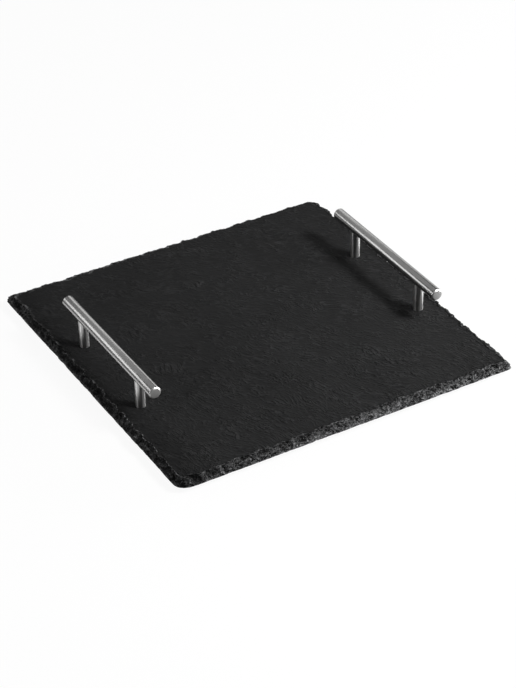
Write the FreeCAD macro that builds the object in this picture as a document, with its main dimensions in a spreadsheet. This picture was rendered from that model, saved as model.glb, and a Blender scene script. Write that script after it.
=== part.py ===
"""Slate serving board with two bar handles, in millimetres.

A square of split slate with knapped edges stands on four rubber feet. Each handle is a round
steel bar on two posts. The posts are coped to the bar, held to it by threaded studs, and held
to the slate by screws and washers from below.

The origin is on the table under the board's centre. X runs across the two handles, Y along
them, and Z is up.
"""
import FreeCAD, Part
import math
import os

import Sketcher

SIZES = [
    # slate
    ("board_width", 300.0, "slate, across the two handles"),
    ("board_depth", 300.0, "slate, along the handles"),
    ("board_thickness", 7.0, "slate"),
    ("corner_front_left", 11.0, "radius of the corner that is trimmed bluntest"),
    ("corner_front_right", 3.0, "radius of this corner"),
    ("corner_back_right", 9.0, "radius of this corner"),
    ("corner_back_left", 1.0, "radius of the sharpest corner"),
    ("corner_least", 1.0, "radius that a corner keeps where the edge leans in"),
    ("scar_pitch", 17.5, "mean width of a flake scar on the rim"),
    ("rim_inset", 3.9, "how far in the ridges between the scars meet the top face"),
    ("scar_bite", 1.2, "how much further in a mean scar reaches"),
    ("ledge_height", 3.8, "height of the broken wall under the scars"),
    ("ledge_inset", 0.7, "lean of that wall"),
    ("trim_ripple", 0.5, "depth of the nicks along the trimmed lower edge"),
    ("slate_hole_spare", 0.8, "holes drilled through the slate, over the screws' diameter"),
    # handles
    ("handle_inset", 22.0, "from the slate's side to the handle's axis"),
    ("hole_pitch", 96.0, "between the two posts of a handle"),
    ("bar_diameter", 10.0, "grip bar"),
    ("bar_length", 150.0, "grip bar"),
    ("bar_chamfer", 1.0, "turned edge of the bar's ends"),
    ("bar_rise", 28.0, "from the slate's top to the bar's axis"),
    ("post_diameter", 8.0, "post"),
    ("post_edge", 0.3, "broken edge of the post's foot"),
    ("saddle_gap", 0.1, "between the bar and the post's coped top"),
    # fasteners
    ("thread_diameter", 4.0, "studs and screws"),
    ("thread_gap", 0.1, "radial, between a thread and its tapped hole"),
    ("tap_spare", 1.2, "tapped hole past the end of its stud or screw"),
    ("stud_length", 12.0, "stud between post and bar"),
    ("stud_in_bar", 6.0, "length of the stud inside the bar"),
    ("socket_width", 2.0, "hexagon socket of the stud, across its flats"),
    ("socket_depth", 2.0, "hexagon socket of the stud"),
    ("screw_length", 16.0, "screw under its head"),
    ("head_diameter", 8.0, "pan head"),
    ("head_height", 2.7, "pan head"),
    ("head_edge", 0.8, "pan head's sloped edge"),
    ("washer_diameter", 12.0, "washer"),
    ("washer_hole_spare", 0.3, "washer's hole over the screw's diameter"),
    ("washer_thickness", 1.0, "washer"),
    # feet
    ("head_room", 1.3, "between the screw heads and the table"),
    ("foot_diameter", 15.0, "foot"),
    ("foot_edge", 0.6, "sloped lower edge of the foot"),
    ("foot_inset", 30.0, "from the slate's sides to the foot's axis"),
]

STATIONS_PER_SCAR = 3
CORNERS = ("front_left", "front_right", "back_right", "back_left")
SIDES = {"left": "-1", "right": "1"}
ENDS = {"front": "-1", "back": "1"}

FOOT_HEIGHT = "(Sizes.washer_thickness + Sizes.head_height + Sizes.head_room)"
SLATE_TOP = f"({FOOT_HEIGHT} + Sizes.board_thickness)"
HANDLE_X = "(Sizes.board_width / 2 - Sizes.handle_inset)"
POST_Y = "(Sizes.hole_pitch / 2)"
TAPPED_HOLE = "(Sizes.thread_diameter + 2 * Sizes.thread_gap)"
BAR_UNDERSIDE = "(Sizes.bar_rise - Sizes.bar_diameter / 2)"
STUD_IN_POST = "(Sizes.stud_length - Sizes.stud_in_bar)"
SCREW_IN_POST = "(Sizes.screw_length - Sizes.washer_thickness - Sizes.board_thickness)"

doc = FreeCAD.newDocument("slate_serving_board")
sheet = doc.addObject("Spreadsheet::Sheet", "Sizes")
for row, (alias, value, meaning) in enumerate(SIZES, start=1):
    sheet.set(f"A{row}", alias)
    sheet.set(f"B{row}", str(value))
    sheet.set(f"C{row}", meaning)
    sheet.setAlias(f"B{row}", alias)
doc.recompute()


def value_of(expression):
    """The number that an expression on the sheet has now."""
    return float(sheet.evalExpression(expression))


# Shared ways of working


def new_body(name, x="0", y="0", z="0"):
    """An empty body whose origin follows three expressions."""
    body = doc.addObject("PartDesign::Body", name)
    body.Label = name
    for axis, expression in zip("xyz", (x, y, z)):
        body.setExpression(f"Placement.Base.{axis}", expression)
    return body


def new_sketch(body, name, role, offset="0"):
    """A sketch on one of the body's own origin planes, or at an offset along its normal."""
    sketch = body.newObject("Sketcher::SketchObject", f"{body.Name}_{name}")
    plane = next(item for item in body.Origin.OriginFeatures if item.Role == role)
    sketch.AttachmentSupport = [(plane, "")]
    sketch.MapMode = "FlatFace"
    sketch.setExpression("AttachmentOffset.Base.z", offset)
    return sketch


def add_circle(sketch, diameter, height="0"):
    """A circle centred on the sketch's upright axis, at a height above its origin."""
    centre = FreeCAD.Vector(0, value_of(height), 0)
    start = Part.Circle(centre, FreeCAD.Vector(0, 0, 1), value_of(diameter) / 2)
    circle = sketch.addGeometry(start)
    size = sketch.addConstraint(Sketcher.Constraint("Diameter", circle, value_of(diameter)))
    sketch.setExpression(f"Constraints[{size}]", diameter)
    if height == "0":
        sketch.addConstraint(Sketcher.Constraint("Coincident", circle, 3, -1, 1))
        return circle
    sketch.addConstraint(Sketcher.Constraint("PointOnObject", circle, 3, -2))
    level = Sketcher.Constraint("DistanceY", -1, 1, circle, 3, value_of(height))
    sketch.setExpression(f"Constraints[{sketch.addConstraint(level)}]", height)
    return circle


def add_profile(sketch, corners):
    """A closed outline of straight lines through corners given as pairs of expressions."""
    points = [FreeCAD.Vector(value_of(x), value_of(y), 0) for x, y in corners]
    lines = [Part.LineSegment(point, points[(index + 1) % len(points)])
             for index, point in enumerate(points)]
    first = sketch.addGeometry(lines)[0]
    for index, (x, y) in enumerate(corners):
        line = first + index
        following = first + (index + 1) % len(corners)
        sketch.addConstraint(Sketcher.Constraint("Coincident", line, 2, following, 1))
        for kind, axis, expression in (("DistanceX", -2, x), ("DistanceY", -1, y)):
            if expression == "0":
                sketch.addConstraint(Sketcher.Constraint("PointOnObject", line, 1, axis))
                continue
            reach = Sketcher.Constraint(kind, -1, 1, line, 1, value_of(expression))
            sketch.setExpression(f"Constraints[{sketch.addConstraint(reach)}]", expression)


def pad(body, sketch, length, symmetric=False):
    feature = body.newObject("PartDesign::Pad", f"{sketch.Name}_pad")
    feature.Profile = sketch
    feature.SideType = "Symmetric" if symmetric else "One side"
    feature.setExpression("Length", length)
    return feature


def revolve(body, sketch):
    feature = body.newObject("PartDesign::Revolution", f"{sketch.Name}_turned")
    feature.Profile = sketch
    feature.ReferenceAxis = (sketch, ["V_Axis"])
    feature.Angle = 360
    return feature


def check_cut(body, feature, before):
    """Stops the build when a cut has taken nothing away."""
    doc.recompute()
    if body.Shape.Volume >= before - 1e-6:
        raise RuntimeError(f"{feature.Name} cuts nothing")


def pocket(body, sketch, length, symmetric=False, upward=False):
    doc.recompute()
    before = body.Shape.Volume
    feature = body.newObject("PartDesign::Pocket", f"{sketch.Name}_pocket")
    feature.Profile = sketch
    feature.SideType = "Symmetric" if symmetric else "One side"
    feature.Reversed = upward
    feature.setExpression("Length", length)
    check_cut(body, feature, before)
    return feature


def drill(body, sketch, depth, upward):
    """Blind tapped holes at the circles of a level sketch."""
    doc.recompute()
    before = body.Shape.Volume
    feature = body.newObject("PartDesign::Hole", f"{sketch.Name}_tapped")
    feature.Profile = sketch
    feature.Reversed = upward
    feature.DepthType = "Dimension"
    feature.DrillPoint = "Flat"
    feature.setExpression("Diameter", TAPPED_HOLE)
    feature.setExpression("Depth", depth)
    check_cut(body, feature, before)
    return feature


def chamfer(body, base, size, wanted):
    """A chamfer on the base's round edges for which wanted(edge) is true."""
    doc.recompute()
    names = [f"Edge{index}" for index, edge in enumerate(base.Shape.Edges, start=1)
             if isinstance(edge.Curve, Part.Circle) and wanted(edge)]
    feature = body.newObject("PartDesign::Chamfer", f"{base.Name}_chamfer")
    feature.Base = (base, names)
    feature.setExpression("Size", size)
    return feature


def is_near(first, second):
    return abs(first - second) < 1e-4


# Slate


def rough(*keys):
    """A steady value from 0 to 1 for each set of whole numbers, as uneven as broken stone."""
    mixed = sum(key * weight for key, weight in zip(keys, (12.9898, 78.233)))
    return math.sin(mixed) * 43758.5453 % 1.0


def outline_sides():
    """The sides of the outline, anticlockwise from the front one: each one's length, its
    distance from the middle, its heading, and the radii of the corners before and after it."""
    sizes = (value_of("Sizes.board_width"), value_of("Sizes.board_depth"))
    radii = [value_of(f"Sizes.corner_{corner}") for corner in CORNERS]
    for turn in range(4):
        heading = turn * math.pi / 2
        yield sizes[turn % 2], sizes[1 - turn % 2] / 2, heading, radii[turn], radii[turn - 3]


def outline_length():
    return sum(length - before - after + after * math.pi / 2
               for length, _, _, before, after in outline_sides())


def corner_middles():
    """How far along the outline the middle of each corner is."""
    along = 0.0
    for length, _, _, before, after in outline_sides():
        along += length - before - after + after * math.pi / 4
        yield along
        along += after * math.pi / 4


def outline_point(along, inset):
    """The point at a distance along the trimmed outline, moved in squarely by inset."""
    for length, away, heading, before, after in outline_sides():
        straight = length - before - after
        if along <= straight + after * math.pi / 2:
            break
        along -= straight + after * math.pi / 2
    forward = FreeCAD.Vector(math.cos(heading), math.sin(heading), 0)
    inward = FreeCAD.Vector(-forward.y, forward.x, 0)
    tip = -inward * away - forward * (length / 2)
    least = inset + value_of("Sizes.corner_least")
    first, last = max(before, least), max(after, least)
    if along <= straight:
        reach = first + (length - first - last) * along / straight
        return tip + forward * reach + inward * inset
    bearing = heading - math.pi / 2 + (along - straight) / after
    outward = FreeCAD.Vector(math.cos(bearing), math.sin(bearing), 0)
    return tip + forward * (length - last) + inward * last + outward * (last - inset)


def edge_levels(scar, station):
    """Insets and heights up the broken edge, from the trimmed lower edge to the top face."""
    share = station / STATIONS_PER_SCAR
    key = scar * STATIONS_PER_SCAR + station
    thickness = value_of("Sizes.board_thickness")
    nick = value_of("Sizes.trim_ripple") * max(0.0, 2 * rough(key, 1) - 1)
    ledge = nick + value_of("Sizes.ledge_inset") * (0.4 + 1.2 * rough(key, 2))
    ledge_height = value_of("Sizes.ledge_height") * (0.7 + 0.6 * rough(key, 3))
    hollow = math.sin(math.pi * share) * (0.3 + 1.4 * rough(scar, 4))
    rim = value_of("Sizes.rim_inset") * (0.85 + 0.3 * rough(key, 5))
    rim += value_of("Sizes.scar_bite") * hollow
    middle = ledge + (rim - ledge) * (0.52 + 0.16 * hollow)
    middle_height = ledge_height + (thickness - ledge_height) * (0.5 - 0.12 * hollow)
    return ((nick, 0.0), (ledge, ledge_height), (middle, middle_height), (rim, thickness))


def station_places():
    """The scars' stations along the outline, the nearest ones moved onto the corners."""
    total = outline_length()
    scars = round(total / value_of("Sizes.scar_pitch"))
    places = []
    for scar in range(scars):
        begin = scar + 0.5 * rough(scar, 6)
        end = scar + 1 + 0.5 * rough((scar + 1) % scars, 6)
        for station in range(STATIONS_PER_SCAR):
            share = station / STATIONS_PER_SCAR
            places.append((begin + (end - begin) * share) % scars * total / scars)
    for middle in corner_middles():
        nearest = min(range(len(places)), key=lambda index: abs(places[index] - middle))
        places[nearest] = middle
    return places


def edge_rings():
    """The rings of points that the broken edge passes through, from the lowest up."""
    base = value_of(FOOT_HEIGHT)
    rings = [[], [], [], []]
    for index, along in enumerate(station_places()):
        for ring, (inset, height) in zip(rings, edge_levels(*divmod(index, STATIONS_PER_SCAR))):
            point = outline_point(along, inset)
            ring.append(FreeCAD.Vector(point.x, point.y, base + height))
    return rings


def flat_face(points):
    return Part.Face(Part.makePolygon([*points, points[0]]))


def make_slate_blank():
    """The split and knapped slate before drilling: two flat faces and a faceted edge."""
    rings = edge_rings()
    faces = [flat_face(rings[0]), flat_face(rings[-1])]
    for lower, upper in zip(rings, rings[1:]):
        for index, corner in enumerate(lower):
            after = (index + 1) % len(lower)
            faces.append(flat_face((corner, lower[after], upper[after])))
            faces.append(flat_face((corner, upper[after], upper[index])))
    solid = Part.makeSolid(Part.makeShell(faces))
    if solid.Volume < 0:
        solid.reverse()
    blank = doc.addObject("Part::Feature", "slate_blank")
    blank.Shape = solid
    return blank


def make_slate_board():
    """The blank with a clearance hole under each post."""
    drills = []
    for side, sign_x in SIDES.items():
        for end, sign_y in ENDS.items():
            tool = doc.addObject("Part::Cylinder", f"slate_drill_{side}_{end}")
            tool.setExpression("Radius", "(Sizes.thread_diameter + Sizes.slate_hole_spare) / 2")
            tool.setExpression("Height", "Sizes.board_thickness * 3")
            tool.setExpression("Placement.Base.x", f"{sign_x} * {HANDLE_X}")
            tool.setExpression("Placement.Base.y", f"{sign_y} * {POST_Y}")
            tool.setExpression("Placement.Base.z", f"{FOOT_HEIGHT} - Sizes.board_thickness")
            drills.append(tool)
    holes = doc.addObject("Part::MultiFuse", "slate_drills")
    holes.Shapes = drills
    board = doc.addObject("Part::Cut", "slate_board")
    board.Label = "slate_board"
    board.Base = make_slate_blank()
    board.Tool = holes
    return board


# Handles


def make_grip_bar(side, sign_x):
    """A turned bar with chamfered ends and two blind tapped holes in its underside."""
    bar = new_body(f"grip_bar_{side}", f"{sign_x} * {HANDLE_X}",
                   z=f"{SLATE_TOP} + Sizes.bar_rise")
    section = new_sketch(bar, "section", "XZ_Plane")
    add_circle(section, "Sizes.bar_diameter")
    rod = pad(bar, section, "Sizes.bar_length", symmetric=True)
    chamfer(bar, rod, "Sizes.bar_chamfer", lambda edge: True)
    stud_holes = new_sketch(bar, "stud_holes", "XY_Plane", "-Sizes.bar_diameter / 2")
    for sign_y in ENDS.values():
        add_circle(stud_holes, TAPPED_HOLE, f"{sign_y} * {POST_Y}")
    drill(bar, stud_holes, "Sizes.stud_in_bar + Sizes.tap_spare", upward=True)
    return bar


def make_post(side, sign_x, end, sign_y):
    """A round post, coped to the bar above and tapped from both ends."""
    post = new_body(f"post_{side}_{end}", f"{sign_x} * {HANDLE_X}", f"{sign_y} * {POST_Y}",
                    SLATE_TOP)
    section = new_sketch(post, "section", "XY_Plane")
    add_circle(section, "Sizes.post_diameter")
    rod = pad(post, section, "Sizes.bar_rise")
    chamfer(post, rod, "Sizes.post_edge", lambda edge: is_near(edge.Curve.Center.z, 0))
    saddle = new_sketch(post, "saddle", "XZ_Plane")
    add_circle(saddle, "Sizes.bar_diameter + 2 * Sizes.saddle_gap", "Sizes.bar_rise")
    pocket(post, saddle, "2 * Sizes.post_diameter", symmetric=True)
    screw_hole = new_sketch(post, "screw_hole", "XY_Plane")
    add_circle(screw_hole, TAPPED_HOLE)
    drill(post, screw_hole, f"{SCREW_IN_POST} + Sizes.tap_spare", upward=True)
    stud_hole = new_sketch(post, "stud_hole", "XY_Plane", BAR_UNDERSIDE)
    add_circle(stud_hole, TAPPED_HOLE)
    drill(post, stud_hole, f"{STUD_IN_POST} + Sizes.tap_spare", upward=False)
    return post


# Fasteners


def add_hexagon(sketch, across_flats):
    """A regular hexagon about the sketch's origin with one corner on its level axis."""
    radius = value_of(across_flats) / math.sqrt(3)
    points = [FreeCAD.Vector(radius * math.cos(turn * math.pi / 3),
                             radius * math.sin(turn * math.pi / 3), 0) for turn in range(6)]
    lines = sketch.addGeometry([Part.LineSegment(points[turn], points[(turn + 1) % 6])
                                for turn in range(6)])
    guide = sketch.addGeometry(Part.Circle(FreeCAD.Vector(), FreeCAD.Vector(0, 0, 1), radius),
                               True)
    sketch.addConstraint(Sketcher.Constraint("Coincident", guide, 3, -1, 1))
    for turn, line in enumerate(lines):
        following = lines[(turn + 1) % 6]
        sketch.addConstraint(Sketcher.Constraint("Coincident", line, 2, following, 1))
        sketch.addConstraint(Sketcher.Constraint("PointOnObject", line, 1, guide))
        if turn:
            sketch.addConstraint(Sketcher.Constraint("Equal", lines[0], line))
    sketch.addConstraint(Sketcher.Constraint("PointOnObject", lines[0], 1, -1))
    size = sketch.addConstraint(Sketcher.Constraint("Diameter", guide, 2 * radius))
    sketch.setExpression(f"Constraints[{size}]", f"2 * {across_flats} / sqrt(3)")


def make_joining_stud(side, sign_x, end, sign_y):
    """A headless stud, half in the post and half in the bar, with a key socket below."""
    stud = new_body(f"joining_stud_{side}_{end}", f"{sign_x} * {HANDLE_X}",
                    f"{sign_y} * {POST_Y}", f"{SLATE_TOP} + {BAR_UNDERSIDE} - {STUD_IN_POST}")
    section = new_sketch(stud, "section", "XY_Plane")
    add_circle(section, "Sizes.thread_diameter")
    pad(stud, section, "Sizes.stud_length")
    socket = new_sketch(stud, "socket", "XY_Plane")
    add_hexagon(socket, "Sizes.socket_width")
    pocket(stud, socket, "Sizes.socket_depth", upward=True)
    return stud


def make_board_screw(side, sign_x, end, sign_y):
    """A pan-head screw that comes up through the washer and the slate into the post."""
    screw = new_body(f"board_screw_{side}_{end}", f"{sign_x} * {HANDLE_X}",
                     f"{sign_y} * {POST_Y}", f"{FOOT_HEIGHT} - Sizes.washer_thickness")
    profile = new_sketch(screw, "profile", "XZ_Plane")
    add_profile(profile, [
        ("0", "-Sizes.head_height"),
        ("Sizes.head_diameter / 2", "-Sizes.head_height"),
        ("Sizes.head_diameter / 2", "0"),
        ("Sizes.thread_diameter / 2", "0"),
        ("Sizes.thread_diameter / 2", "Sizes.screw_length"),
        ("0", "Sizes.screw_length"),
    ])
    turned = revolve(screw, profile)
    head = -value_of("Sizes.head_height")
    chamfer(screw, turned, "Sizes.head_edge", lambda edge: is_near(edge.Curve.Center.z, head))
    return screw


def make_washer(side, sign_x, end, sign_y):
    """A wide flat washer that spreads the screw's load on the stone."""
    washer = new_body(f"washer_{side}_{end}", f"{sign_x} * {HANDLE_X}", f"{sign_y} * {POST_Y}",
                      f"{FOOT_HEIGHT} - Sizes.washer_thickness")
    ring = new_sketch(washer, "ring", "XY_Plane")
    add_circle(ring, "Sizes.washer_diameter")
    add_circle(ring, "Sizes.thread_diameter + Sizes.washer_hole_spare")
    pad(washer, ring, "Sizes.washer_thickness")
    return washer


# Feet


def make_foot(side, sign_x, end, sign_y):
    """A round rubber foot, glued to the underside of the slate."""
    foot = new_body(f"foot_{side}_{end}",
                    f"{sign_x} * (Sizes.board_width / 2 - Sizes.foot_inset)",
                    f"{sign_y} * (Sizes.board_depth / 2 - Sizes.foot_inset)")
    section = new_sketch(foot, "section", "XY_Plane")
    add_circle(section, "Sizes.foot_diameter")
    disc = pad(foot, section, FOOT_HEIGHT)
    chamfer(foot, disc, "Sizes.foot_edge", lambda edge: is_near(edge.Curve.Center.z, 0))
    return foot


# The whole board

pieces = [make_slate_board()]
for side, sign_x in SIDES.items():
    pieces.append(make_grip_bar(side, sign_x))
for make_piece in (make_post, make_joining_stud, make_board_screw, make_washer, make_foot):
    for side, sign_x in SIDES.items():
        for end, sign_y in ENDS.items():
            pieces.append(make_piece(side, sign_x, end, sign_y))
doc.recompute()

for item in doc.Objects:
    if "Invalid" in item.State or "Error" in item.State:
        raise RuntimeError(f"{item.Name} is in state {item.State}")
for piece in pieces:
    if piece.Shape.isNull() or not piece.Shape.isValid() or len(piece.Shape.Solids) != 1:
        raise RuntimeError(f"{piece.Label} is not one valid solid")

os.makedirs("parts", exist_ok=True)
for piece in pieces:
    piece.Shape.exportStep(f"parts/{piece.Label}.step")
    print(f"{piece.Label}: {piece.Shape.Volume:.1f} mm3")
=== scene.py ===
import math

import bmesh
import bpy
from mathutils import Matrix, Vector, geometry, noise


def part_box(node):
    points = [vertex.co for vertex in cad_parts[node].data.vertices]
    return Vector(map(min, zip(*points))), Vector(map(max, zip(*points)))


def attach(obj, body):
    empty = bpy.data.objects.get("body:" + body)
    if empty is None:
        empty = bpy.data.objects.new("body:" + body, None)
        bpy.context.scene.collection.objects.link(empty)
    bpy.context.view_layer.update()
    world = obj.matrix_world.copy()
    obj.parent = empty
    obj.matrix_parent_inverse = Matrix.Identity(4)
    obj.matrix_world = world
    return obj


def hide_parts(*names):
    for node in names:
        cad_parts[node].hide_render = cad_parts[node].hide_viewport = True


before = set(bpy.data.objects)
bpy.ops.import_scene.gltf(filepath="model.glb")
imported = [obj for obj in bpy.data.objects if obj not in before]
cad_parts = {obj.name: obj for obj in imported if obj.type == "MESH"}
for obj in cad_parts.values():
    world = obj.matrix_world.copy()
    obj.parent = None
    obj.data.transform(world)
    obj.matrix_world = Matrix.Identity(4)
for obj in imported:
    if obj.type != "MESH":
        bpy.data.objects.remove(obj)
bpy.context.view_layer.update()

# The slate: one square split from the block along its cleavage and trimmed by striking off
# flakes all round. The split faces are nearly flat and matt; the edge is a rim of flake scars
# over a crushed, gritty wall. Four clearance holes are drilled under the posts.

SIDES = ("left", "right")
ENDS = ("front", "back")


def middle_of(node):
    """Where a CAD node stands on the board, in metres, to a tenth of a millimetre."""
    low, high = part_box(node)
    return round((low.x + high.x) / 2, 4), round((low.y + high.y) / 2, 4)


POST_PLACES = [middle_of(f"post_{side}_{end}") for side in SIDES for end in ENDS]
FOOT_PLACES = [middle_of(f"foot_{side}_{end}") for side in SIDES for end in ENDS]

# the slate is worked out in millimetres
slate_low, slate_high = (1000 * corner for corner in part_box("slate_board"))
HALF_SIDE = slate_high.x
UNDERSIDE = slate_low.z
TOP_FACE = slate_high.z
THICKNESS = TOP_FACE - UNDERSIDE
CORNER_RADII = (11.0, 3.0, 9.0, 1.0)
LEAST_RADIUS = 1.0
SCAR_PITCH = 17.5
STATIONS_PER_SCAR = 3
NICK_DEPTH = 0.5
LEDGE_INSET = 0.7
WALL_HEIGHT = 3.8
RIM_INSET = 3.9
SCAR_BITE = 1.2
COLUMN_PITCH = 0.55
# rows of points from the foot up to the ledge, to the middle of the scars, and to the rim
ROWS = (9, 6, 7)
HOLE_RADIUS = 2.4
HOLE_SIDES = 32
holes = [1000 * Vector(place) for place in POST_PLACES]
feet = [1000 * Vector(place) for place in FOOT_PLACES]

outline = sum(2 * HALF_SIDE - before - after + after * math.pi / 2
              for before, after in zip(CORNER_RADII, CORNER_RADII[1:] + CORNER_RADII[:1]))
scar_count = round(outline / SCAR_PITCH)
KEY_WEIGHTS, ROUGH_SCALE = (12.9898, 78.233), 43758.5453


def rough(*keys):
    """A steady value from 0 to 1 for each pair of whole numbers, as uneven as broken stone."""
    mixed = sum(key * weight for key, weight in zip(keys, KEY_WEIGHTS))
    return math.sin(mixed) * ROUGH_SCALE % 1.0


def smooth_step(low, high, value):
    """0 up to low, 1 from high on, and an even rise between them."""
    share = min(max((value - low) / (high - low), 0.0), 1.0)
    return share * share * (3 - 2 * share)


def outline_point(along, inset):
    """The point at a distance along the trimmed outline, moved in squarely by inset."""
    along %= outline
    for turn, before in enumerate(CORNER_RADII):
        after = CORNER_RADII[turn - 3]
        straight = 2 * HALF_SIDE - before - after
        if along <= straight + after * math.pi / 2:
            break
        along -= straight + after * math.pi / 2
    heading = turn * math.pi / 2
    forward = Vector((math.cos(heading), math.sin(heading)))
    inward = Vector((-forward.y, forward.x))
    tip = -(inward + forward) * HALF_SIDE
    first, last = (max(radius, inset + LEAST_RADIUS) for radius in (before, after))
    if along <= straight:
        reach = first + (2 * HALF_SIDE - first - last) * along / straight
        return tip + forward * reach + inward * inset
    bearing = heading - math.pi / 2 + (along - straight) / after
    outward = Vector((math.cos(bearing), math.sin(bearing)))
    return tip + forward * (2 * HALF_SIDE - last) + inward * last + outward * (last - inset)


# each measure of a scar has a kind, which keeps its values apart from the others' values
NICK, LEDGE, LEDGE_HEIGHT, BITE, RIM, SCAR_END = range(1, 7)


def find_scar(along):
    """Which flake scar a place on the outline is in, and how far through it, from 0 to 1."""
    place = along / outline * scar_count
    for scar in (math.floor(place), math.floor(place) - 1):
        begin = scar + 0.5 * rough(scar % scar_count, SCAR_END)
        end = scar + 1 + 0.5 * rough((scar + 1) % scar_count, SCAR_END)
        if begin <= place < end:
            break
    return scar % scar_count, (place - begin) / (end - begin)


def edge_levels(along):
    """Insets and heights up the broken edge, from the trimmed lower edge to the top face."""
    scar, share = find_scar(along)
    station, part = divmod(share * STATIONS_PER_SCAR, 1)
    key = scar * STATIONS_PER_SCAR + int(station)
    after = (key + 1) % (scar_count * STATIONS_PER_SCAR)

    def between(kind):
        return rough(key, kind) * (1 - part) + rough(after, kind) * part

    nick = NICK_DEPTH * max(0.0, 2 * between(NICK) - 1)
    ledge = nick + LEDGE_INSET * (0.4 + 1.2 * between(LEDGE))
    ledge_height = WALL_HEIGHT * (0.7 + 0.6 * between(LEDGE_HEIGHT))
    hollow = math.sin(math.pi * share) * (0.3 + 1.4 * rough(scar, BITE))
    rim = RIM_INSET * (0.85 + 0.3 * between(RIM)) + SCAR_BITE * hollow
    middle = ledge + (rim - ledge) * (0.52 + 0.16 * hollow)
    middle_height = ledge_height + (THICKNESS - ledge_height) * (0.5 - 0.12 * hollow)
    return ((nick, 0.0), (ledge, ledge_height), (middle, middle_height), (rim, THICKNESS))


# chips of the wall and of the rim: their width and the depth of their steps
WALL_CHIPS = ((2.7, 0.6), (1.4, 0.3))
RIM_CHIPS = ((3.4, 0.45), (1.6, 0.25))
CHIP_TILT, CHIP_STEP_WIDTH = 1.6, 0.25
WALL_LAYER_DEPTH, RIM_LAYER_DEPTH = 0.4, 0.35
LAYER_THICKNESS, LAYER_RUN = 1.1, 5.5
# the chip off the back right corner: its depth, and the distances from the tip at which it
# starts to fade and is gone
CORNER_CHIP_DEPTH = 3.4
CORNER_CHIP_FADE = (7.0, 13.5)
back_right_tip = Vector((HALF_SIDE, HALF_SIDE))


def facets(place, size):
    """Tilted chips with steps between them, from about -1 to 1."""
    near, centres = noise.voronoi(place / size)
    first, second = (noise.cell_vector(100 * centre) for centre in centres[:2])
    tilt = (place / size - centres[0]).dot(first - Vector((0.5, 0.5, 0.5)))
    blend = 0.5 + 0.5 * smooth_step(0.0, CHIP_STEP_WIDTH, near[1] - near[0])
    return (first.x * blend + second.x * (1 - blend)) * 2 - 1 + CHIP_TILT * tilt


def chipped(place, chips):
    """How far chips of several sizes cut in together."""
    return sum(depth * facets(place, size) for size, depth in chips)


def wave(along, length, seed):
    """An uneven wave along the edge, from about -1 to 1."""
    return noise.noise(Vector((along / length, seed, 0)))


def broken_point(along, row_height, inset, share):
    """A place on the edge with its chips and pits. Its share runs from 0 at the foot of the
    edge to 1 at the rim."""
    flat = outline_point(along, inset)
    place = Vector((flat.x, flat.y, row_height * 1.3))
    reach = wave(along, 8, 8.1)
    wall = 1 - smooth_step(0.4, 0.8, share + 0.3 * reach)
    layer = round(row_height / LAYER_THICKNESS)
    layers = noise.noise(Vector((along / LAYER_RUN, 0, 3.7 * layer)))
    cut = wall * (chipped(place, WALL_CHIPS) + WALL_LAYER_DEPTH * layers)
    cut += (1 - wall) * (chipped(place, RIM_CHIPS) + RIM_LAYER_DEPTH * layers)
    rim = smooth_step(0.6, 1.0, share)
    cut += rim * (0.9 * wave(along, 5.0, 5.5) + 0.4 * reach)
    cut += rim * (0.8 * wave(along, 1.9, 2.5))
    fade = smooth_step(*CORNER_CHIP_FADE, (flat - back_right_tip).length)
    cut += rim * CORNER_CHIP_DEPTH * (1 - fade)
    if share == 0:  # the trimmed foot shows only its deeper chips
        cut = 0.5 * max(0.0, cut - 0.3)
    drop = 0.3 * noise.noise(place / 1.7 + Vector((7, 3, 1))) * math.sin(math.pi * share)
    point = outline_point(along, max(inset + cut, 0.0))
    return Vector((point.x, point.y, UNDERSIDE + row_height + drop))


FACE_DIP, SWELL_DEPTH, GRAIN_DEPTH = 0.14, 0.16, 0.05
SWELL_LENGTH, GRAIN_LENGTH, GRAIN_WIDTH = 55, 40, 11
# distances from the middles of posts and feet at which their flat seats end, and at which
# the face is fully uneven again
POST_SEAT, FOOT_SEAT = (6.0, 16.0), (8.0, 18.0)
# distances from the outline at which the split face starts to sink, and is fully sunk
SUNK_MARGIN = (3.0, 9.0)


def sunk_depth(x, y, facing):
    """How far the split face lies below its highest plane, none round the posts and feet."""
    swell = noise.fractal(Vector((x / SWELL_LENGTH, y / SWELL_LENGTH, facing)), 1.0, 2.0, 3)
    grain = noise.noise(Vector(((x - y) / GRAIN_LENGTH, (x + y) / GRAIN_WIDTH, facing + 5)))
    depth = FACE_DIP + SWELL_DEPTH * swell + GRAIN_DEPTH * grain
    for hole in holes:
        depth *= smooth_step(*POST_SEAT, math.hypot(x - hole.x, y - hole.y))
    if facing < 0:
        for foot in feet:
            depth *= smooth_step(*FOOT_SEAT, math.hypot(x - foot.x, y - foot.y))
    edge = smooth_step(*SUNK_MARGIN, HALF_SIDE - max(abs(x), abs(y)))
    return max(depth, 0.0) * edge


# rings of points inside a rim: how far in, and one point for every how many columns
INNER_RINGS = ((0.7, 2), (1.7, 4), (3.3, 4), (5.4, 8))
GRID_MARGIN = 13.5
HOLE_MARGIN = 1.2
TOP_SPACING, UNDER_SPACING = 2.6, 6.5

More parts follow.
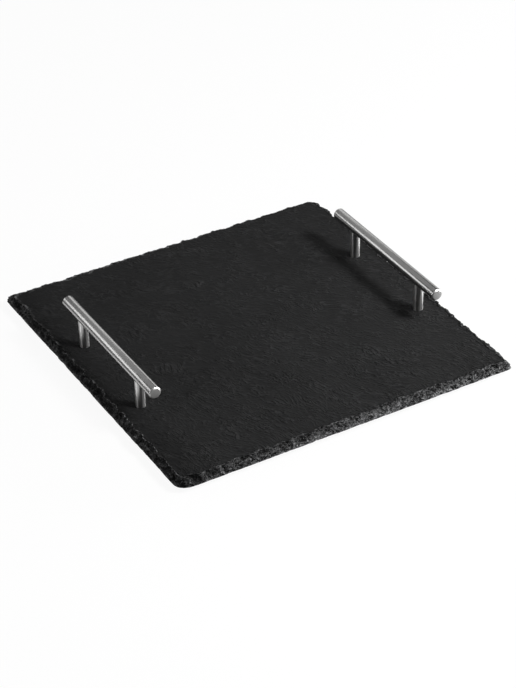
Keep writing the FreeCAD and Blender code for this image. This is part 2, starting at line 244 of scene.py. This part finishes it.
widest_step = max(every for inset, every in INNER_RINGS)
columns = round(outline / COLUMN_PITCH / widest_step) * widest_step
points, rings = [], []
row_count = sum(ROWS)
for row in range(row_count + 1):
    level = 0
    step = row
    while level < len(ROWS) - 1 and step > ROWS[level]:
        step -= ROWS[level]
        level += 1
    part = step / ROWS[level]
    ring = []
    for column in range(columns):
        along = column * outline / columns
        (low_inset, low_height), (high_inset, high_height) = edge_levels(along)[level:level + 2]
        inset = low_inset + (high_inset - low_inset) * part
        height = low_height + (high_height - low_height) * part
        ring.append(len(points))
        points.append(broken_point(along, height, inset, row / row_count))
    rings.append(ring)
faces = []
for lower, upper in zip(rings, rings[1:]):
    for column in range(columns):
        after = (column + 1) % columns
        faces.append((lower[column], lower[after], upper[after], upper[column]))
edge_point_count = len(points)


def clear_of_holes(place, distance):
    return all((place - hole).length > distance for hole in holes)


def split_face(rim, spacing, height, facing):
    """Adds a split face inside a rim, with the holes left open, and returns the points round
    the holes. Its facing is 1 for the top face and -1 for the underside."""
    flat = [points[index].xy for index in rim]
    bounds = [(index, (index + 1) % len(rim)) for index in range(len(rim))]
    for inset, every in INNER_RINGS:
        for column in range(0, columns, every):
            along = column * outline / columns
            here = flat[column] - outline_point(along, 0)
            flat.append(outline_point(along, here.length + inset))
    steps = int((HALF_SIDE - GRID_MARGIN) / spacing)
    for across in range(-steps, steps + 1):
        for back in range(-steps, steps + 1):
            jitter = Vector((rough(across, back), rough(back, across + 50)))
            jitter -= Vector((0.5, 0.5))
            place = Vector((across, back)) * spacing + jitter * spacing * 0.5
            if clear_of_holes(place, HOLE_RADIUS + HOLE_MARGIN):
                flat.append(place)
    for hole in holes:
        first = len(flat)
        for side in range(HOLE_SIDES):
            angle = 2 * math.pi * side / HOLE_SIDES
            flat.append(hole + HOLE_RADIUS * Vector((math.cos(angle), math.sin(angle))))
            bounds.append((first + side, first + (side + 1) % HOLE_SIDES))
    placed, _, triangles, sources, _, _ = geometry.delaunay_2d_cdt(
        flat, bounds, [list(range(len(rim)))], 1, 1e-5)
    new_index = {}
    for index, origin in enumerate(sources):
        if origin and origin[0] < len(rim):
            new_index[index] = rim[origin[0]]
            continue
        x, y = placed[index]
        new_index[index] = len(points)
        points.append(Vector((x, y, height - facing * sunk_depth(x, y, facing))))
    for triangle in triangles:  # those inside the holes are left out
        centre = sum((placed[index] for index in triangle), Vector((0, 0))) / 3
        if clear_of_holes(centre, HOLE_RADIUS * 0.99):
            faces.append(tuple(new_index[index] for index in triangle))
    return [new_index[index] for index, origin in enumerate(sources)
            if origin and origin[0] >= len(flat) - HOLE_SIDES * len(holes)]


hole_tops = split_face(rings[-1], TOP_SPACING, TOP_FACE, 1)
hole_foots = split_face(rings[0], UNDER_SPACING, UNDERSIDE, -1)
for number in range(len(holes)):
    first = number * HOLE_SIDES
    for side in range(HOLE_SIDES):
        after = (side + 1) % HOLE_SIDES
        faces.append((hole_tops[first + side], hole_tops[first + after],
                      hole_foots[first + after], hole_foots[first + side]))

mesh = bpy.data.meshes.new("slate")
mesh.from_pydata([point / 1000 for point in points], [], faces)
broken = mesh.attributes.new("broken", "FLOAT", "POINT")
height_share = mesh.attributes.new("height_share", "FLOAT", "POINT")
for index in range(edge_point_count):
    broken.data[index].value = 1.0
    height_share.data[index].value = (index // columns) / row_count
for index in range(edge_point_count, len(points)):
    on_top = points[index].z > UNDERSIDE + THICKNESS / 2
    height_share.data[index].value = 1.0 if on_top else 0.0
slate = bpy.data.objects.new("slate", mesh)
bpy.context.collection.objects.link(slate)


def pick(piece):
    """Selects one piece and nothing else, and makes it the active one."""
    bpy.ops.object.select_all(action="DESELECT")
    piece.select_set(True)
    bpy.context.view_layer.objects.active = piece


pick(slate)
bpy.ops.object.mode_set(mode="EDIT")
bpy.ops.mesh.select_all(action="SELECT")
bpy.ops.mesh.normals_make_consistent(inside=False)
bpy.ops.object.mode_set(mode="OBJECT")
bpy.ops.object.shade_smooth_by_angle(angle=math.radians(32))


class Shade:
    """A value or colour on its way through a material. Arithmetic on values adds Math nodes."""

    def __init__(self, tree, socket=None):
        self.tree = tree
        self.socket = socket

    def node(self, kind, sockets, output=0, stops=None, **settings):
        """One more node: its settings first, then its sockets' values or links."""
        made = self.tree.nodes.new("ShaderNode" + kind)
        for name, value in settings.items():
            setattr(made, name, value)
        if stops:
            while len(made.color_ramp.elements) < len(stops):
                made.color_ramp.elements.new(0.5)
            for element, (position, level) in zip(made.color_ramp.elements, stops):
                element.position = position
                element.color = (level, level, level, 1.0)
        for key, value in sockets.items():
            if isinstance(value, Shade):
                self.tree.links.new(value.socket, made.inputs[key])
            else:
                made.inputs[key].default_value = value
        return Shade(self.tree, made.outputs[output])

    def math(self, operation, *values, clamp=False):
        return self.node("Math", dict(enumerate(values)), operation=operation, use_clamp=clamp)

    def __add__(self, other):
        return self.math("ADD", self, other)

    __radd__ = __add__

    def __sub__(self, other):
        return self.math("SUBTRACT", self, other)

    def __rsub__(self, other):
        return self.math("SUBTRACT", other, self)

    def __mul__(self, other):
        return self.math("MULTIPLY", self, other)

    __rmul__ = __mul__

    def ramp(self, *stops):
        """This value read off a curve through stops, each a position and a level."""
        return self.node("ValToRGB", {0: self}, stops=stops)

    def part(self, axis):
        """These coordinates along one axis."""
        return self.node("SeparateXYZ", {0: self}, "XYZ".index(axis))

    def stretched(self, x, y, z, turn=0.0):
        """These coordinates in steps of x, y and z millimetres, with x turned about Z."""
        return self.node("Mapping", {0: self, 2: (0, 0, math.radians(turn)),
                                     3: (x / 1000, y / 1000, z / 1000)}, vector_type="TEXTURE")

    def noise(self, detail=3.0, roughness=0.5, distortion=0.0):
        return self.node("TexNoise", {"Vector": self, "Scale": 1.0, "Detail": detail,
                                      "Roughness": roughness, "Distortion": distortion})

    def tinted(self, tint):
        """A colour of this tone."""
        return self.node("CombineColor", {channel: self if share == 1 else self * share
                                          for channel, share in enumerate(tint)})


def new_material(name):
    """An empty material, its shader and the coordinates that its patterns lie in."""
    material = bpy.data.materials.new(name)
    material.use_nodes = True
    tree = material.node_tree
    place = Shade(tree).node("TexCoord", {}, 3)
    return material, tree.nodes["Principled BSDF"], place


def connect(shade, shader, name):
    shade.tree.links.new(shade.socket, shader.inputs[name])


SLATE_TINT = (1, 1.005, 1.02)
# the edge's pit tone is painted shade: the dark of the recesses between raised grit
FACE_TONE, HOLLOW_SHADE_TONE = 0.0093, 0.002
FLOW_BEND = (0.026, 0.026, 0.0)
TOWARDS_BACK = (2.8, 4.9, 0.0)
BOARDS_PER_METRE = 3.33

material, shader, place = new_material("split_slate")
edge_mask = place.node("Attribute", {}, 2, attribute_name="broken")
up_edge = place.node("Attribute", {}, 2, attribute_name="height_share")
# how far across the slate from its left side, and how far back from its front, from 0 to 1
across = place.part("X") * BOARDS_PER_METRE + 0.5
deep = place.part("Y") * BOARDS_PER_METRE + 0.5

# split face: ripples that wander about the lineation, which turns from the front to the back,
# in patches; torn lines and low steps between the layers; dust
bend = place.node("TexNoise", {"Vector": place.stretched(40, 40, 40), "Scale": 1.0,
                               "Detail": 1.0}, 1)
bend = place.node("VectorMath", {0: bend, 1: (0.5, 0.5, 0.5)}, operation="SUBTRACT")
flow = place.node("VectorMath", {0: bend, 1: FLOW_BEND, 2: place},
                  operation="MULTIPLY_ADD")
drift = place.stretched(70, 70, 70).noise(2)
back = place.node("VectorMath", {0: place, 1: TOWARDS_BACK}, 1, operation="DOT_PRODUCT")
back = back.math("ADD", back, drift, clamp=True)
patches = place.stretched(20, 12, 16, -40).noise(2).ramp((0.42, 0.25), (0.6, 1.0))
ripples = back * flow.stretched(5, 1.8, 5, -30).noise(1, 0.5, 0.3)
ripples = ripples + (1 - back) * flow.stretched(4.5, 1.8, 5, -70).noise(1, 0.5, 0.3)
strokes = ripples.ramp((0.53, 0.0), (0.63, 1.0))
torn = flow.stretched(9, 4.0, 7, -50).noise(1, 0.5, 0.8) - 0.5
torn = torn.math("ABSOLUTE", torn).ramp((0.0, 1.0), (0.05, 0.4), (0.10, 0.0))
steps = flow.stretched(30, 13, 20, -44).noise(1, 0.5, 0.8) * 8
terrace = steps.math("FRACT", steps).ramp((0.0, 0.0), (0.08, 1.0), (1.0, 0.9))
dust = place.stretched(1.8, 1.8, 1.8).noise(2, 0.6)
face_height = (ripples * 0.25 + strokes * 0.42 + torn * 0.25) * patches * (2.2 - 0.95 * back)
face_height = face_height + terrace * 0.1 + dust * 0.2
face_tone = FACE_TONE + 0.0075 * drift + 0.0075 * ripples + torn * patches * 0.01
# painted shade: the split face darkens over its last 30 mm towards the left side
face_tone = face_tone * across.ramp((0.0, 0.6), (0.045, 0.72), (0.1, 1.0))

# crushed edge: grit and chips with painted shade in the pits between them; light specks, partly
# painted glints, and crumbs
grit = place.stretched(5.2, 5.2, 3.0).noise(3, 0.65)
chips = place.node("TexVoronoi", {"Vector": place.stretched(2.6, 2.6, 2.0), "Scale": 1.0})
raised_grit = grit.ramp((0.47, 0.0), (0.53, 1.0))
# light specks: crushed dust, and painted glints of facets catching the lamps
specks_and_glints = place.stretched(4.0, 4.0, 2.6).noise(3, 0.7, 1.0) - 0.5
specks_and_glints = specks_and_glints.math("ABSOLUTE", specks_and_glints).ramp((0.0, 1.0), (0.04, 0.2), (0.06, 0.0))
crumbs = place.stretched(1.5, 1.5, 1.2).noise(1).ramp((0.52, 0.0), (0.62, 1.0))
edge_height = grit * 3.2 + chips * 0.8 + crumbs * 0.25
lower_wall = up_edge.ramp((0.0, 1.0), (0.35, 0.5), (0.65, 0.22), (1.0, 0.22))
# painted shade: where the grit is low, in its pits, the edge keeps the dark pit tone
edge_tone = HOLLOW_SHADE_TONE + raised_grit * (0.008 + 0.06 * lower_wall)
edge_tone = edge_tone + specks_and_glints * (0.045 + 0.165 * lower_wall)
edge_tone = edge_tone + crumbs * raised_grit * (0.03 + 0.13 * lower_wall)
# painted shade: the edge is darker towards the left, the side turned away from the key lamp
edge_tone = edge_tone * across.ramp((0.0, 0.45), (0.06, 0.6), (0.4, 1.1))

# the rim is bruised in places and carries a painted highlight along its edge; painted shade
# darkens hollows of the edge, most on its left side, and the right rim is darker
# a painted highlight along the rim's edge, together with real bruises in places
bruises_and_rim_highlight = place.stretched(3, 3, 3).noise(2).ramp((0.48, 0.0), (0.58, 1.0))
bruises_and_rim_highlight = bruises_and_rim_highlight * up_edge.ramp((0.95, 0.0), (1.0, 1.0))
# painted shade: patches of the edge darkened as hollows, most strongly on the left side, which
# faces away from the key lamp
hollow_shade = place.stretched(6.5, 6.5, 4.5).noise(1).ramp((0.44, 0.75), (0.56, 0.0))
left_shade = across.ramp((0.05, 1.0), (0.3, 0.35))
right_rim = across.ramp((0.955, 0.0), (0.97, 1.0)) * deep.ramp((0.03, 0.0), (0.08, 1.0))
edge_tone = (edge_tone + bruises_and_rim_highlight * 0.125) * (1.14 - left_shade * (hollow_shade + 0.05))
edge_tone = edge_tone * (1 - 0.62 * right_rim)

tone = edge_mask * edge_tone + (1 - edge_mask) * face_tone
gloss = 0.78 - edge_mask * 0.2 + 0.12 * ripples
height = edge_mask * edge_height + (1 - edge_mask) * face_height
bump = place.node("Bump", {"Strength": 1.0, "Distance": 0.001, "Height": height})
connect(tone.tinted(SLATE_TINT), shader, "Base Color")
connect(gloss, shader, "Roughness")
connect(bump, shader, "Normal")
shader.inputs["Specular IOR Level"].default_value = 0.05
slate.data.materials.append(material)
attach(slate, "root")
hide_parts("slate_board")

# The feet: four soft black rubber discs with rounded edges, moulded, and glued under the
# corners of the slate. They keep the screw heads off the table.

BOARD_UNDERSIDE = UNDERSIDE / 1000
FOOT_RADIUS = 0.0075
FOOT_LOWER_ROUND, FOOT_UPPER_ROUND = 0.0008, 0.0002
GREY = (1, 1, 1)


def rounded(piece, size, segments, wanted):
    """Rounds the wanted edges of a piece, or chamfers them with a single segment."""
    pick(piece)
    bpy.ops.object.mode_set(mode="EDIT")
    bpy.ops.mesh.select_mode(type="EDGE")
    bpy.ops.mesh.select_all(action="DESELECT")
    shape = bmesh.from_edit_mesh(piece.data)
    for edge in shape.edges:
        if wanted(edge):
            edge.select_set(True)
    bmesh.update_edit_mesh(piece.data)
    bpy.ops.mesh.bevel(offset=size, segments=segments, affect="EDGES")
    bpy.ops.object.mode_set(mode="OBJECT")


def rod(name, radius, length, place, sides, turned=(0, 0, 0)):
    """A round blank about its middle, its place kept in its mesh."""
    bpy.ops.object.select_all(action="DESELECT")
    bpy.ops.mesh.primitive_cylinder_add(vertices=sides, radius=radius, depth=length,
                                        location=place, rotation=turned)
    bpy.ops.object.transform_apply(location=True, rotation=True, scale=True)
    bpy.context.object.name = name
    return bpy.context.object


def turned_disc(name, radius, low, high, place, sides=64):
    """An upright round blank between two heights."""
    return rod(name, radius, high - low, (*place, (low + high) / 2), sides)


def lies_at(height):
    """A test for the edges of a piece that lie level at a height."""
    return lambda edge: all(abs(corner.co.z - height) < 1e-6 for corner in edge.verts)


def finish_piece(piece, node, material, angle=35):
    """Shades a piece smooth but for its corners, and lets it stand for its node."""
    pick(piece)
    bpy.ops.object.shade_smooth_by_angle(angle=math.radians(angle))
    piece.data.materials.clear()
    piece.data.materials.append(material)
    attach(piece, "root")
    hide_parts(node)


def moved_copy(piece, name, x, y):
    """The same piece again, with a mesh of its own."""
    other = piece.copy()
    other.data = piece.data.copy()
    other.name = name
    other.data.transform(Matrix.Translation((x, y, 0)))
    bpy.context.collection.objects.link(other)
    return other


def at_four_places(piece, places, kind, finish, material):
    """Copies a piece made at the last of four places to all of them, each for its node."""
    names = [f"{kind}_{side}_{end}" for side in SIDES for end in ENDS]
    made_x, made_y = places[-1]
    for node, (x, y) in zip(names, places):
        other = moved_copy(piece, f"{node}_{finish}", x - made_x, y - made_y)
        finish_piece(other, node, material)
    bpy.data.objects.remove(piece)


rubber, shader, place = new_material("black_rubber")
pebble = place.stretched(0.6, 0.6, 0.6).noise(2)
dust = place.stretched(4, 4, 4).noise(3)
bump = place.node("Bump", {"Strength": 1.0, "Distance": 0.001, "Height": pebble * 0.03})
connect((0.012 + 0.012 * dust).tinted(GREY), shader, "Base Color")
connect(0.6 + 0.25 * dust, shader, "Roughness")
connect(bump, shader, "Normal")

foot = turned_disc("foot", FOOT_RADIUS, 0.0, BOARD_UNDERSIDE, FOOT_PLACES[-1])
rounded(foot, FOOT_LOWER_ROUND, 4, lies_at(0.0))
rounded(foot, FOOT_UPPER_ROUND, 2, lies_at(BOARD_UNDERSIDE))
at_four_places(foot, FOOT_PLACES, "foot", "rubber", rubber)

# The screws come up from below through wide washers and the slate into the posts. Bright
# stainless pan heads with a cross recess; the washers are stamped and tumbled.

WASHER_RADIUS, WASHER_THICKNESS, WASHER_ROUND = 0.006, 0.001, 0.00012
WASHER_HOLE_RADIUS = 0.00215
HEAD_RADIUS, HEAD_HEIGHT, HEAD_ROUND = 0.004, 0.0027, 0.0009
RECESS_LENGTH, RECESS_WIDTH, RECESS_TOOL_HEIGHT = 0.0042, 0.0009, 0.0022
RECESS_TOOL_MIDDLE = 0.0017
THREAD_RADIUS, THREAD_TOP, THREAD_CHAMFER = 0.002, 0.02, 0.0004
# how far the shank runs into the head, and how far outside its piece a cutting tool starts
OVERLAP = 0.0001
TOOL_EXCESS = 0.001
STEEL_TINT = (1, 0.995, 0.985)


def turned_steel(name, axis, tone, spread, roughness, chamfer=1.0, faced=1.0):
    """Steel with fine grain round an axis, which spreads its reflections along that axis.
    It is rougher beyond a chamfer's place on the axis, and more so on the faced end."""
    material, shader, place = new_material(name)
    steps = [9.0, 9.0, 9.0]
    steps["XYZ".index(axis)] = 0.035
    grain = place.stretched(*steps).noise(2, 0.6)
    steps["XYZ".index(axis)] = 1.1
    bands = place.stretched(*steps).noise(3, 0.6)
    marks = place.stretched(7, 7, 7).noise(1)
    along = tuple(1.0 if letter == axis else 0.0 for letter in "XYZ")
    tilt = place.node("VectorMath", {0: along, 3: (grain - 0.5) * spread}, operation="SCALE")
    facing = place.node("NewGeometry", {}, 1)
    leant = place.node("VectorMath", {0: facing, 1: tilt}, operation="ADD")
    leant = place.node("VectorMath", {0: leant}, operation="NORMALIZE")
    level = tone * (0.9 + 0.12 * bands + 0.08 * marks)
    end = place.part(axis)
    end = end.math("ABSOLUTE", end)
    coarse = 0.25 * end.math("GREATER_THAN", end, chamfer)
    coarse = coarse + 0.12 * end.math("GREATER_THAN", end, faced)
    connect(level.tinted(STEEL_TINT), shader, "Base Color")
    connect(roughness * (0.92 + 0.16 * marks) + coarse, shader, "Roughness")
    connect(leant, shader, "Normal")
    shader.inputs["Metallic"].default_value = 1.0
    return material


def cut(piece, tool):
    """Takes the shape of a tool out of a piece."""
    pick(piece)
    change = piece.modifiers.new("cut", "BOOLEAN")
    change.operation = "DIFFERENCE"
    change.object = tool
    change.solver = "EXACT"
    bpy.ops.object.modifier_apply(modifier=change.name)
    bpy.data.objects.remove(tool)


def is_sharper_than(angle):
    """A test for the edges of a piece between faces that turn by more than an angle."""
    return lambda edge: edge.calc_face_angle(0) > angle


fastener_steel = turned_steel("fastener_steel", "Z", tone=0.62, spread=0.5, roughness=0.28)
post_place = POST_PLACES[-1]
washer_low = BOARD_UNDERSIDE - WASHER_THICKNESS
washer = turned_disc("washer", WASHER_RADIUS, washer_low, BOARD_UNDERSIDE, post_place)
cut(washer, turned_disc("washer_hole", WASHER_HOLE_RADIUS, washer_low - TOOL_EXCESS,
                        BOARD_UNDERSIDE + TOOL_EXCESS, post_place, 48))
rounded(washer, WASHER_ROUND, 2, is_sharper_than(1))
head_low = washer_low - HEAD_HEIGHT
screw = turned_disc("screw", HEAD_RADIUS, head_low, washer_low, post_place)
rounded(screw, HEAD_ROUND, 5, lies_at(head_low))
for arm in ((RECESS_WIDTH, RECESS_LENGTH), (RECESS_LENGTH, RECESS_WIDTH)):
    bpy.ops.mesh.primitive_cube_add(size=1, location=(*post_place, RECESS_TOOL_MIDDLE),
                                    scale=(*arm, RECESS_TOOL_HEIGHT))
    recess = bpy.context.object
    bpy.ops.object.transform_apply(location=True, rotation=True, scale=True)
    cut(screw, recess)
shank = turned_disc("shank", THREAD_RADIUS, washer_low - OVERLAP, THREAD_TOP, post_place, 32)
rounded(shank, THREAD_CHAMFER, 1, lies_at(THREAD_TOP))
pick(screw)
shank.select_set(True)
bpy.ops.object.join()
for piece, kind in ((washer, "washer"), (screw, "board_screw")):
    at_four_places(piece, POST_PLACES, kind, "steel", fastener_steel)

# The posts: 8 mm stainless rod, turned, satin, with a broken lower edge and a coped top that
# fits the bar. They are tapped at both ends; headless studs hold the bar.

BOARD_TOP = TOP_FACE / 1000
BAR_RADIUS, BAR_AXIS_HEIGHT = 0.005, 0.04
POST_RADIUS, POST_ROUND = 0.004, 0.0003
SADDLE_GAP, SADDLE_TOOL_LENGTH = 0.0001, 0.02
TAPPED_RADIUS = 0.0021
SCREW_HOLE_END, STUD_HOLE_START, STUD_HOLE_END = 0.0212, 0.0278, 0.0422
ALONG_BAR = (math.pi / 2, 0, 0)

post_steel = turned_steel("post_steel", "Z", tone=0.60, spread=0.03, roughness=0.285)
post_shader = post_steel.node_tree.nodes["Principled BSDF"]
post_shader.inputs["Anisotropic"].default_value = 0.9
post_shader.inputs["Anisotropic Rotation"].default_value = 0.25
post = turned_disc("post", POST_RADIUS, BOARD_TOP, BAR_AXIS_HEIGHT, post_place, 96)
rounded(post, POST_ROUND, 2, lies_at(BOARD_TOP))
cut(post, rod("saddle", BAR_RADIUS + SADDLE_GAP, SADDLE_TOOL_LENGTH,
              (*post_place, BAR_AXIS_HEIGHT), 128, ALONG_BAR))
cut(post, turned_disc("screw_hole", TAPPED_RADIUS, BOARD_TOP - TOOL_EXCESS, SCREW_HOLE_END,
                      post_place, 32))
cut(post, turned_disc("stud_hole", TAPPED_RADIUS, STUD_HOLE_START,
                      BAR_AXIS_HEIGHT + BAR_RADIUS, post_place, 32))
at_four_places(post, POST_PLACES, "post", "steel", post_steel)
for side in SIDES:
    for end in ENDS:
        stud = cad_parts[f"joining_stud_{side}_{end}"]
        stud.data.materials.clear()
        stud.data.materials.append(fastener_steel)

# The grip bars: 10 mm stainless bar with turned ends and a 1 mm chamfer, satin ground. Each
# is drilled from below and tapped for the studs of its two posts.

BAR_LENGTH, BAR_CHAMFER, BAR_ROUND = 0.15, 0.001, 0.00008
FACED_DEPTH = 0.0001

bar_end = BAR_LENGTH / 2
bar_steel = turned_steel("bar_steel", "Y", tone=0.50, spread=0.9, roughness=0.21,
                         chamfer=bar_end - BAR_CHAMFER, faced=bar_end - FACED_DEPTH)
post_x, post_y = post_place
bar = rod("bar", BAR_RADIUS, BAR_LENGTH, (post_x, 0, BAR_AXIS_HEIGHT), 128, ALONG_BAR)
rounded(bar, BAR_CHAMFER, 1, is_sharper_than(1))
rounded(bar, BAR_ROUND, 2, is_sharper_than(0.6))
bar_low = BAR_AXIS_HEIGHT - BAR_RADIUS
for y in (-post_y, post_y):
    cut(bar, turned_disc("stud_hole", TAPPED_RADIUS, bar_low - TOOL_EXCESS, STUD_HOLE_END,
                         (post_x, y), 32))
for side, shift in (("left", -2 * post_x), ("right", 0.0)):
    other = moved_copy(bar, f"grip_bar_{side}_steel", shift, 0)
    finish_piece(other, f"grip_bar_{side}", bar_steel, 25)
bpy.data.objects.remove(bar)

# The floor is a wide pale sheet, and the lamps are flat soft boxes, large and dim above and
# behind, small and bright at the key and the sides. The camera sees the sheet as near-white,
# and in the steel it shows a painted light: it glows brightest near the board and darker with
# distance from it.

FLOOR_SIZE = 14
# painted light: how bright the floor glows in the steel at distances from the middle of the
# board, in metres
PAINTED_FLOOR_LIGHT_IN_STEEL = ((0.15, 1.0), (0.18, 0.95), (0.2, 0.42), (0.225, 0.2), (0.29, 0.15),
                  (0.6, 0.12))
FLOOR_TONE_BOUNCED, FLOOR_TONE_SEEN, FLOOR_GLOW_SHARE = 0.2, 0.92, 0.93
WORLD_LIGHT = 0.03

bpy.ops.object.select_all(action="DESELECT")
bpy.ops.mesh.primitive_plane_add(size=FLOOR_SIZE, location=(0, 0, 0))
floor = bpy.context.object
floor.name = "floor"
material, _, place = new_material("pale_floor")
tree = material.node_tree
camera_ray = place.node("LightPath", {}, 0)
glossy_ray = place.node("LightPath", {}, 3)
tone = FLOOR_TONE_BOUNCED + (FLOOR_TONE_SEEN - FLOOR_TONE_BOUNCED) * camera_ray
sheet = place.node("BsdfDiffuse", {"Color": tone.tinted(GREY)})
away = [place.part(axis) for axis in "XY"]
away = place.math("MAXIMUM", *(side.math("ABSOLUTE", side) for side in away))
painted_light_in_steel = glossy_ray * away.ramp(*PAINTED_FLOOR_LIGHT_IN_STEEL)
glow = place.node("Emission", {"Color": (camera_ray + painted_light_in_steel).tinted(GREY),
                               "Strength": 1.0})
glowing = camera_ray * FLOOR_GLOW_SHARE + glossy_ray
mixed = place.node("MixShader", {0: glowing, 1: sheet, 2: glow})
tree.links.new(mixed.socket, tree.nodes["Material Output"].inputs["Surface"])
floor.data.materials.append(material)


def soft_box(name, direction, distance, width, height, radiance):
    """A flat lamp that faces the board from a direction; radiance 1 shows as white."""
    away = Vector(direction).normalized()
    lamp = bpy.data.lights.new(name, "AREA")
    lamp.shape = "RECTANGLE"
    lamp.size = width
    lamp.size_y = height
    lamp.energy = 4 * width * height * radiance
    box = bpy.data.objects.new(name, lamp)
    box.location = away * distance
    box.rotation_euler = away.to_track_quat("Z", "Y").to_euler()
    bpy.context.collection.objects.link(box)


# direction, distance, width, height and radiance of each lamp
soft_box("lamp_key", (0.44, -0.55, 0.715), 1.35, 0.32, 0.32, 47.5)
soft_box("lamp_back_high", (0.0, 0.68, 0.73), 2.0, 2.2, 1.6, 0.28)
soft_box("lamp_back_left", (-0.66, 0.70, 0.33), 1.7, 1.2, 0.65, 1.3)
soft_box("lamp_back_right", (0.66, 0.72, 0.25), 2.0, 1.8, 0.9, 0.75)
soft_box("lamp_left", (-0.99, 0.07, 0.1), 1.2, 0.3, 0.2, 18.0)
soft_box("lamp_right", (0.97, -0.2, 0.1), 1.2, 0.6, 0.2, 43.0)
soft_box("lamp_front_high", (-0.3, -0.55, 0.78), 2.0, 2.0, 1.4, 0.2)

world = bpy.data.worlds.new("studio")
world.use_nodes = True
world.node_tree.nodes["Background"].inputs["Color"].default_value = (1.0, 1.0, 1.0, 1.0)
world.node_tree.nodes["Background"].inputs["Strength"].default_value = WORLD_LIGHT
bpy.context.scene.world = world

# The camera stands where the photograph was taken: about 1.8 m off, with a long lens. It is
# aimed at a point a little to the front left of the board's middle, on its underside.

AZIMUTH, ELEVATION, ROLL = (math.radians(turn) for turn in (-29.558, 34.409, -1.281))
DISTANCE = 1.80513
AIM = Vector((-0.003851, -0.014314, 0.005))
SENSOR_SIZE = 36
LENS_PIXELS, PICTURE_PIXELS = 2240.87, 688

backward = Vector((math.sin(AZIMUTH) * math.cos(ELEVATION),
                   -math.cos(AZIMUTH) * math.cos(ELEVATION), math.sin(ELEVATION)))
sideways = Vector((math.cos(AZIMUTH), math.sin(AZIMUTH), 0))
upward = backward.cross(sideways)
right = sideways * math.cos(ROLL) + upward * math.sin(ROLL)
up = upward * math.cos(ROLL) - sideways * math.sin(ROLL)
lens = bpy.data.cameras.new("camera")
lens.lens = LENS_PIXELS * SENSOR_SIZE / PICTURE_PIXELS
lens.sensor_width = SENSOR_SIZE
lens.clip_start = 0.05
camera = bpy.data.objects.new("camera", lens)
turned = Matrix((right, up, backward)).transposed().to_4x4()
camera.matrix_world = Matrix.Translation(AIM + backward * DISTANCE) @ turned
bpy.context.collection.objects.link(camera)
bpy.context.scene.camera = camera
bpy.context.scene.view_settings.view_transform = "Standard"
